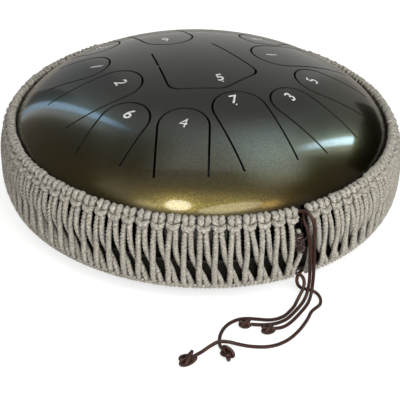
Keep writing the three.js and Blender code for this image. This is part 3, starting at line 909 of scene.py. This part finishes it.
# One knot with its two strands. A row is the column, the height on the bare wall, the distance
# out from it and the rope's radius
def addKnot(i, size):
    lift = wander(size["uneven"])
    thick = size["strand"] * (size["snug"] if i in size["snugColumns"] else 1)
    shift, bow = wander(size["loose"] / 2), wander(size["loose"])
    left = i + (0 if i else size["firstAside"])
    addRope(uprights, [
        (left - 0.15, 66.0, 4.0, thick),
        (left - 0.18 + shift, 61.0, 4.5, thick),
        (left - 0.20 + shift + bow, 50.0, 4.7, thick),
        (left - 0.21 + shift + bow, 40.0, 5.0, thick),
        (left - 0.21 + shift, 32.0, 5.3, thick),
        (left - 0.20, 26.0, 4.9, thick),
        (left - 0.17, 20.6, 3.6, thick),
    ], size["uprightSteps"], size["turn"], wander(size["startTurn"]))
    if i < size["knots"] - 1:
        meet = wander(size["looseMeet"])
        addRope(crossings, [
            (i + 0.15, 66.0, 4.0, thick),
            (i + 0.18 + shift, 61.0, 4.5, thick),
            (i + 0.27 + meet / 2, 54.0, 4.5, thick),
            (i + 0.40 + meet, 47.0, 4.1, thick),
            (i + 0.58 + meet, 40.0, 2.8, thick),
            (i + 0.78 + meet, 34.5, 1.7, thick),
            (i + 1.0 + meet / 2, 29.4, 2.1, thick),
            (i + 1.19, 24.6, 3.2, thick),
            (i + 1.34, 20.6, 3.6, thick),
        ], size["crossingSteps"], size["turn"], wander(size["startTurn"]))
    plump, middle = size["hump"] * (1 + wander(size["plump"])), i + wander(size["skew"])
    for side in (-1, 1):
        addRope(knotHumps, [
            (i + side * 0.15, 66.8 + lift, 1.9, 1.7),
            (middle + side * 0.20, 69.4 + lift, 2.5, 2.15),
            (middle + side * 0.235, 69.9 + lift, 4.2, plump),
            (middle + side * 0.225, 68.7 + lift, 5.2, plump),
            (i + side * 0.15, 67.0 + lift, 4.6, 1.9),
            (i + side * 0.11, 65.8, 3.6, 1.6),
        ], size["humpSteps"], size["turn"] * side, wander(size["startTurn"]))
    bar = [(0.30, 67.4, 2.6, 1.5), (0.335, 66.0, 4.6, 1.85), (0.15, 64.4, 5.7, size["bar"])]
    half = [(column, height + lift, out, radius) for column, height, out, radius in bar]
    addRope(knotHumps, [
        *[(i - column, *rest) for column, *rest in half],
        *[(i + column, *rest) for column, *rest in reversed(half)],
    ], size["barSteps"], size["turn"], wander(size["startTurn"]))


def addBraid(obj, size):
    first, last = -size["past"], coverSizes["knots"] - 1 + size["past"]
    length = (last - first) * 2 * math.pi * drumSizes["radius"] / (coverSizes["knots"] + 1)
    turns = round(length / size["span"])
    steps = size["steps"] * turns
    for cord in range(size["cords"]):
        points = []
        for i in range(steps + 1):
            swing = 2 * math.pi * (i * turns / steps + cord / size["cords"])
            height = size["height"] + size["tall"] * math.sin(swing)
            out = size["out"] + size["deep"] * math.sin(2 * swing)
            points.append(coverPoint(first + (last - first) * i / steps, height, out))
        tilts = [size["twist"] * i for i in range(steps + 1)]
        addSpline(obj, points, [size["radius"]] * (steps + 1), tilts)


uprights = startRope("cover_uprights", ropeSection)
crossings = startRope("cover_crossings", ropeSection)
knotHumps = startRope("cover_knots", ropeSection)
chain = startRope("cover_chain", braidSection)
for column in range(coverSizes["knots"]):
    addKnot(column, coverSizes)
addBraid(chain, braidSizes)
finishRope(uprights, "cord_cover")
finishRope(crossings)
finishRope(knotHumps)
finishRope(chain)
print("cover knotted")

# The strand that closes the seam, its brown criss-cross wrap and the drawstrings in the edges
closingRoute = [  # distance right of the seam, height on the bare wall, distance out from it
    (-4.9, 58, 3.7), (-4.9, 54.4, 3.9), (-4, 49.8, 3.9), (-2.8, 44.5, 4),
    (-2.1, 39.5, 4), (-2.8, 34, 3.8), (-4.6, 29, 3.7), (-5.6, 25, 3.6),
]
closingSizes = {"radius": 1.8, "length": 36, "steps": 40}
wrapSizes = {
    "top": 57, "bottom": 40, "cord": 0.72, "reach": 2.5, "turns": 3.5, "steps": 160, "bevel": 3,
    "weave": 0.42,  # how far the windings rise and dip where they cross
}
drawstringSizes = {
    "top_drawstring": 68.2, "bottom_drawstring": 18, "end": 7.3, "out": 1.8, "steps": 200, "bevel": 3,
}


def seamPoint(across, height, out):
    radius, level = wallPoint(height, out)
    return aroundAxis(radius, level, math.radians(coverSizes["seamAt"]) + across / radius)


def makeClosing(size):
    closing = startRope("closing_rope", ropeSection)
    path = [seamPoint(*row) for row in alongPoints(closingRoute, size["steps"])]
    turns = size["length"] / coverSizes["turn"]
    tilts = [2 * math.pi * turns * i / size["steps"] for i in range(len(path))]
    addSpline(closing, path, [size["radius"]] * len(path), tilts)
    finishRope(closing, "closing_strand")
    return path


def makeWrap(size, path):
    # the wrap's cord carries painted shade
    wrap = newCurve("seam_wrapping", finishes["shadedWrapCord"])
    wrap.data.bevel_depth = size["cord"] * mm
    wrap.data.bevel_resolution = size["bevel"]
    core = [p for p in path if size["bottom"] * mm <= p.z <= size["top"] * mm]
    spans, steps = len(core) - 1, size["steps"]
    for hand, start in ((-1, 0), (1, 0), (-1, math.pi), (1, math.pi)):
        winding = []
        for i in range(steps + 1):
            place = min(i * spans / steps, spans - hair)
            k = int(place)
            middle = core[k].lerp(core[k + 1], place - k)
            along = (core[k + 1] - core[k]).normalized()
            out = Vector((middle.x, middle.y, 0)).normalized()
            side = along.cross(out).normalized()
            angle = start + hand * 2 * math.pi * size["turns"] * i / steps
            around = side.cross(along) * math.cos(angle) + side * math.sin(angle)
            lift = size["reach"] + size["weave"] * hand * math.cos(2 * angle)
            winding.append(middle + around * lift * mm)
        addSpline(wrap, winding)
    activate(wrap)
    bpy.ops.object.convert(target="MESH")
    settle(wrap, "drum", "satin_cord", "seam_wrap")


def makeDrawstring(name, size):
    radius, level = wallPoint(size[name], size["out"])
    gap = size["end"] / radius
    start = math.radians(coverSizes["seamAt"]) + gap
    sweep = 2 * math.pi - 2 * gap
    string = newCurve("ring_" + name, finishes["satinCord"])
    string.data.bevel_depth = cordSizes["diameter"] / 2 * mm
    string.data.bevel_resolution = size["bevel"]
    turns = [start + sweep * i / size["steps"] for i in range(size["steps"] + 1)]
    addSpline(string, [aroundAxis(radius, level, turn) for turn in turns])
    activate(string)
    bpy.ops.object.convert(target="MESH")
    settle(string, "drum", "satin_cord", name)


makeWrap(wrapSizes, makeClosing(closingSizes))
for stringName in ("top_drawstring", "bottom_drawstring"):
    makeDrawstring(stringName, drawstringSizes)
drop(ropeSection)
drop(braidSection)
print("seam closed")


# Pale floor, white surround and soft studio light
def swapSeen(nodes, links, plain, seen, target):  # what the camera and the gloss see, and all else
    path = nodes.new("ShaderNodeLightPath").outputs
    looks = combined(nodes, links, "MAXIMUM", path["Is Camera Ray"], path["Is Glossy Ray"])
    looks = combined(nodes, links, "MAXIMUM", looks, path["Is Transmission Ray"])
    mix = nodes.new("ShaderNodeMixShader")
    links.new(looks, mix.inputs["Fac"])
    links.new(plain, mix.inputs[1])
    links.new(seen, mix.inputs[2])
    links.new(mix.outputs["Shader"], target)


surroundLook = {"colour": (1, 0.99, 0.97), "strength": 0.08, "seen": (1, 1, 1), "seenStrength": 1}


def addSurround(look):
    world = bpy.data.worlds.new("whiteStudio")
    studio.world = world
    world.use_nodes = True
    nodes, links = world.node_tree.nodes, world.node_tree.links
    soft = nodes["Background"]
    soft.inputs["Color"].default_value = (*look["colour"], 1)
    soft.inputs["Strength"].default_value = look["strength"]
    seen = nodes.new("ShaderNodeBackground")
    seen.inputs["Color"].default_value = (*look["seen"], 1)
    seen.inputs["Strength"].default_value = look["seenStrength"]
    swapSeen(nodes, links, soft.outputs["Background"], seen.outputs["Background"],
             nodes["World Output"].inputs["Surface"])


floorLook = {  # metres; the glow that keeps it white starts under the drum and grows further out, so the floor is painted darker under and near the drum, a painted shadow
    "size": 8, "dark": (0.93, 0.93, 0.93), "light": (0.95, 0.95, 0.95), "grain": 40,
    "roughness": 0.9, "bump": 0.02, "shade": (0.42, 0.42, 0.42),
    "clearFrom": 0.12, "clearTo": 0.155, "glow": 0.8,
    "farFrom": 0.24, "farTo": 0.65, "farGlow": 0.2,
}


def addFloor(look):
    deselect()
    bpy.ops.mesh.primitive_plane_add(size=look["size"], location=(0, 0, 0))
    floor = bpy.context.object
    floor.name = "paleFloor"
    paper = makeFinish("floorPaper", look)
    nodes, links = paper.node_tree.nodes, paper.node_tree.links
    coordinates = nodes.new("ShaderNodeTexCoord")
    length = nodes.new("ShaderNodeVectorMath")
    length.operation = "LENGTH"
    links.new(coordinates.outputs["Object"], length.inputs[0])
    radius = length.outputs["Value"]
    # no glow under the drum and less near it: painted shadow round the drum
    near = mapped(nodes, links, radius, look["clearFrom"], look["clearTo"], 0, look["glow"])
    far = mapped(nodes, links, radius, look["farFrom"], look["farTo"], 0, look["farGlow"])
    total = combined(nodes, links, "ADD", near.outputs["Result"], far.outputs["Result"])
    glow = nodes.new("ShaderNodeEmission")
    links.new(total, glow.inputs["Strength"])
    shade = nodes.new("ShaderNodeBsdfDiffuse")
    shade.inputs["Color"].default_value = (*look["shade"], 1)
    seen = nodes.new("ShaderNodeAddShader")
    links.new(glow.outputs["Emission"], seen.inputs[0])
    links.new(shade.outputs["BSDF"], seen.inputs[1])
    swapSeen(nodes, links, nodes["Principled BSDF"].outputs["BSDF"], seen.outputs["Shader"],
             nodes["Material Output"].inputs["Surface"])
    floor.data.materials.append(paper)


# Cards round the drum that only its gloss sees: bearing, distance, centre height, slope, lean, width,
# height, colour, strength, share of it at the foot, share that fades out at the sides, top and bottom
studioCards = {
    "greyBack": (85, 1.62, 1.55, 90, 0, 3.3, 3.4, (1, 0.99, 0.95), 0.5, 0.9, (0.03, 0.45, 0.01)),
    "greyLeft": (117, 1.55, 0.7, 90, 0, 0.5, 1.5, (0.95, 0.97, 1), 0.28, 1, (0.3, 0.5, 0.01)),
    "darkLeft": (127.3, 1.52, 0.5, 90, 0, 0.2, 1.2, (1, 1, 1), 0.05, 1, (0.15, 0.4, 0.01)),
    "stripLeft": (129.9, 1.46, 1.25, 90, -4.2, 0.11, 2.6, (0.45, 0.7, 1.0), 6.0, 0.1, (0.2, 0.3, 0.01)),
    "stripRight": (33.7, 1.46, 1.65, 90, 0, 0.2, 1.74, (0.58, 0.83, 1.0), 16.0, 1, (0.35, 0.9, 0.02)),
    "glowRight": (24, 0.68, 1.45, -26, 0, 1.5, 0.95, (0.8, 0.95, 1.0), 2.4, 1, (0.45, 0.45, 0.45)),
    "greyRight": (52, 1.5, 0.9, 90, 0, 0.85, 1.9, (1, 0.97, 0.9), 0.33, 0.8, (0.15, 0.5, 0.01)),
    "flagLeft": (165, 1.5, 1.4, 90, 0, 1.8, 3.0, (1, 0.92, 0.8), 0.2, 1, (0.1, 0.35, 0.01)),
    "hoodLeft": (160, 0.63, 1.36, -25, 0, 1.6, 1.0, (1, 0.9, 0.75), 0.25, 1, (0.4, 0.4, 0.4)),
    "flagRight": (-2, 1.45, 1.2, 90, 0, 1.7, 2.7, (1, 0.9, 0.75), 0.17, 1, (0.1, 0.25, 0.01)),
    "blackSide": (22, 1.4, 0.33, 90, 12, 0.6, 1.05, (1, 1, 1), 0.0, 1, (0.03, 0.03, 0.01)),
    "blackBox": (31.6, 1.38, 0.324, 90, 44, 0.75, 0.7, (1, 1, 1), 0.0, 1, (0.03, 0.03, 0.01)),
    "blackLow": (44, 1.36, 0.1, 90, 0, 0.48, 0.6, (1, 1, 1), 0.0, 1, (0.03, 0.03, 0.01)),
    "flagFrontLeft": (-152, 1.5, 0.9, 90, 0, 1.5, 1.9, (1, 0.92, 0.8), 0.2, 1, (0.15, 0.3, 0.01)),
    "flagFrontRight": (-25, 1.5, 0.9, 90, 0, 1.5, 1.9, (1, 0.92, 0.8), 0.32, 1, (0.15, 0.3, 0.01)),
    "warmSpot": (-46, 0.6, 0.61, 90, 0, 0.19, 0.24, (1, 0.7, 0.3), 5.8, 1, (0.45, 0.45, 0.45)),
    "dimCeiling": (-90, 1.3, 1.7, 0, 0, 3.8, 2.6, (1, 0.95, 0.85), 0.56, 1, (0.4, 0.5, 0.01)),
    "goldHalo": (-88, 0.66, 0.98, -33, 0, 1.5, 0.75, (1, 0.92, 0.58), 1.7, 1, (0.42, 0.4, 0.3)),
    "goldLeft": (-122, 0.6, 0.67, 90, 0, 0.26, 0.3, (1, 0.93, 0.62), 4.2, 1, (0.45, 0.45, 0.45)),
    "floorFlag": (0, 0, 0.004, 0, 0, 3.0, 3.0, (1, 0.94, 0.86), 0.36, 1, (0.08, 0.08, 0.08)),
}
cardSides = {"half": 0.5, "dimTo": 0.1}  # on a card of size 1: its edge, and where the dim foot ends


def edgeFade(nodes, links, source, edge, share):
    fade = mapped(nodes, links, source, edge, edge - math.copysign(share, edge))
    fade.interpolation_type = "SMOOTHSTEP"
    return fade.outputs["Result"]


def addCard(name, bearing, distance, height, slope, lean, wide, tall, colour, strength, foot, fades):
    angle, half = math.radians(bearing), cardSides["half"]
    deselect()
    bpy.ops.mesh.primitive_plane_add(size=2 * half)
    card = bpy.context.object
    card.name = name
    place = Matrix.Translation((distance * math.cos(angle), distance * math.sin(angle), height))
    facing = Matrix.Rotation(angle - math.pi / 2, 4, "Z")
    upright = facing @ Matrix.Rotation(math.radians(slope), 4, "X")
    leaning = Matrix.Rotation(math.radians(lean), 4, "Z") @ Matrix.Diagonal((wide, tall, 1, 1))
    card.matrix_world = place @ upright @ leaning
    material, nodes, links, shader = newMaterial(name)
    nodes.remove(shader)
    coordinates = nodes.new("ShaderNodeTexCoord")
    split = nodes.new("ShaderNodeSeparateXYZ")
    links.new(coordinates.outputs["Object"], split.inputs["Vector"])
    across, up = split.outputs["X"], split.outputs["Y"]
    dim = mapped(nodes, links, up, -half, cardSides["dimTo"], strength * foot, strength)
    shine = nodes.new("ShaderNodeEmission")
    shine.inputs["Color"].default_value = (*colour, 1)
    links.new(dim.outputs["Result"], shine.inputs["Strength"])
    sides, top, bottom = fades
    solid = edgeFade(nodes, links, across, half, sides)
    for source, edge, share in ((across, -half, sides), (up, half, top), (up, -half, bottom)):
        fade = edgeFade(nodes, links, source, edge, share)
        solid = combined(nodes, links, "MULTIPLY", solid, fade)
    clear = nodes.new("ShaderNodeBsdfTransparent")
    mix = nodes.new("ShaderNodeMixShader")
    links.new(solid, mix.inputs["Fac"])
    links.new(clear.outputs["BSDF"], mix.inputs[1])
    links.new(shine.outputs["Emission"], mix.inputs[2])
    links.new(mix.outputs["Shader"], nodes["Material Output"].inputs["Surface"])
    card.data.materials.append(material)
    card.visible_camera = False
    card.visible_diffuse = False
    card.visible_shadow = False


lampPlaces = {  # place, aim, size, power, colour; the gloss doesn't see the soft ones
    "rimLamp": ((-0.168, -0.64, 0.89), (0, -0.15, 0.075), (0.21, 0.24), 1.6, (1, 0.98, 0.92)),
    "rimLampSide": ((0.22, -0.60, 0.77), (0, -0.15, 0.075), (0.5, 0.18), 0.95, (1, 0.96, 0.84)),
    "softKey": ((0.75, -1.15, 1.5), (0, 0, 0.05), (1.0, 1.0), 16.5, (1, 1, 1)),
    "softBack": ((0, 1.4, 0.45), (0, 0, 0.05), (1.2, 0.5), 9.0, (1, 0.99, 0.97)),
    "softFront": ((0.35, -1.3, 0.3), (0, 0, 0.05), (1.2, 0.5), 8.2, (1, 0.98, 0.95)),
}


def addLamp(name, place, aim, size, power, colour):
    deselect()
    bpy.ops.object.light_add(type="AREA", location=place)
    lamp = bpy.context.object
    lamp.name = name
    lamp.data.shape = "RECTANGLE" if name.startswith("soft") else "ELLIPSE"
    lamp.data.size, lamp.data.size_y = size
    lamp.data.energy = power
    lamp.data.color = colour
    lamp.rotation_euler = (Vector(aim) - Vector(place)).to_track_quat("-Z", "Y").to_euler()
    lamp.visible_glossy = not name.startswith("soft")


addSurround(surroundLook)
addFloor(floorLook)
for cardName, facts in studioCards.items():
    addCard(cardName, *facts)
for lampName, facts in lampPlaces.items():
    addLamp(lampName, *facts)
print("studio lit")
